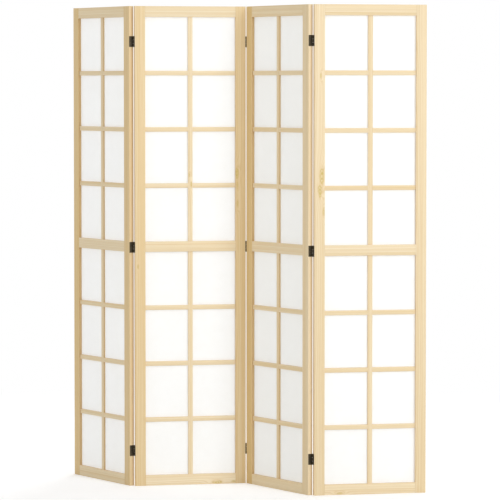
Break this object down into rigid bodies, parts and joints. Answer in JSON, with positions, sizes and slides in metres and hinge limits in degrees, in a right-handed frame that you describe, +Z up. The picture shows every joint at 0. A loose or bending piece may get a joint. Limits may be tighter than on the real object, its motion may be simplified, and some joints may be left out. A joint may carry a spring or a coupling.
{
  "type": "shoji folding screen",
  "caption": "Free-standing room divider: tall pine lattice panels backed with translucent paper, hinged edge to edge so that they fold like a fan.",
  "frame": {"origin": "on the floor, under the middle of the box that holds the standing screen", "axes": "+Z up, +X along the zigzag from the first panel to the last, -Y towards the viewer of the lattice side"},
  "size_m": [1.3594, 0.2422, 1.7],
  "materials": {
    "pine": "clear satin lacquer over pale pine, faint grain",
    "paper": "matt translucent white rice paper with fine fibres",
    "dark_bronze": "dark bronze lacquer, satin"
  },
  "bodies": {
    "panel_1": {"panel_1_left_stile": "pine", "panel_1_right_stile": "pine", "panel_1_bottom_rail": "pine", "panel_1_middle_rail": "pine", "panel_1_top_rail": "pine", "panel_1_lower_lattice": "pine", "panel_1_upper_lattice": "pine", "panel_1_paper": "paper", "hinge_12_bottom_left_leaf": "dark_bronze", "hinge_12_bottom_pin": "dark_bronze", "hinge_12_middle_left_leaf": "dark_bronze", "hinge_12_middle_pin": "dark_bronze", "hinge_12_top_left_leaf": "dark_bronze", "hinge_12_top_pin": "dark_bronze"},
    "panel_2": {"panel_2_left_stile": "pine", "panel_2_right_stile": "pine", "panel_2_bottom_rail": "pine", "panel_2_middle_rail": "pine", "panel_2_top_rail": "pine", "panel_2_lower_lattice": "pine", "panel_2_upper_lattice": "pine", "panel_2_paper": "paper", "hinge_12_bottom_right_leaf": "dark_bronze", "hinge_12_middle_right_leaf": "dark_bronze", "hinge_12_top_right_leaf": "dark_bronze", "hinge_23_bottom_left_leaf": "dark_bronze", "hinge_23_bottom_pin": "dark_bronze", "hinge_23_middle_left_leaf": "dark_bronze", "hinge_23_middle_pin": "dark_bronze", "hinge_23_top_left_leaf": "dark_bronze", "hinge_23_top_pin": "dark_bronze"},
    "panel_3": {"panel_3_left_stile": "pine", "panel_3_right_stile": "pine", "panel_3_bottom_rail": "pine", "panel_3_middle_rail": "pine", "panel_3_top_rail": "pine", "panel_3_lower_lattice": "pine", "panel_3_upper_lattice": "pine", "panel_3_paper": "paper", "hinge_23_bottom_right_leaf": "dark_bronze", "hinge_23_middle_right_leaf": "dark_bronze", "hinge_23_top_right_leaf": "dark_bronze", "hinge_34_bottom_left_leaf": "dark_bronze", "hinge_34_bottom_pin": "dark_bronze", "hinge_34_middle_left_leaf": "dark_bronze", "hinge_34_middle_pin": "dark_bronze", "hinge_34_top_left_leaf": "dark_bronze", "hinge_34_top_pin": "dark_bronze"},
    "panel_4": {"panel_4_left_stile": "pine", "panel_4_right_stile": "pine", "panel_4_bottom_rail": "pine", "panel_4_middle_rail": "pine", "panel_4_top_rail": "pine", "panel_4_lower_lattice": "pine", "panel_4_upper_lattice": "pine", "panel_4_paper": "paper", "hinge_34_bottom_right_leaf": "dark_bronze", "hinge_34_middle_right_leaf": "dark_bronze", "hinge_34_top_right_leaf": "dark_bronze"}
  },
  "joints": [
    {"name": "fold_12", "type": "hinge", "parent": "panel_2", "child": "panel_1", "pos_m": [-0.34059, -0.10718, 0.85], "axis": [0, 0, -1], "range_deg": [-69.7, 110.3]},
    {"name": "fold_23", "type": "hinge", "parent": "panel_2", "child": "panel_3", "pos_m": [0, 0.10718, 0.85], "axis": [0, 0, -1], "range_deg": [-69.7, 110.3]},
    {"name": "fold_34", "type": "hinge", "parent": "panel_3", "child": "panel_4", "pos_m": [0.34059, -0.10718, 0.85], "axis": [0, 0, 1], "range_deg": [-69.7, 110.3]}
  ]
}
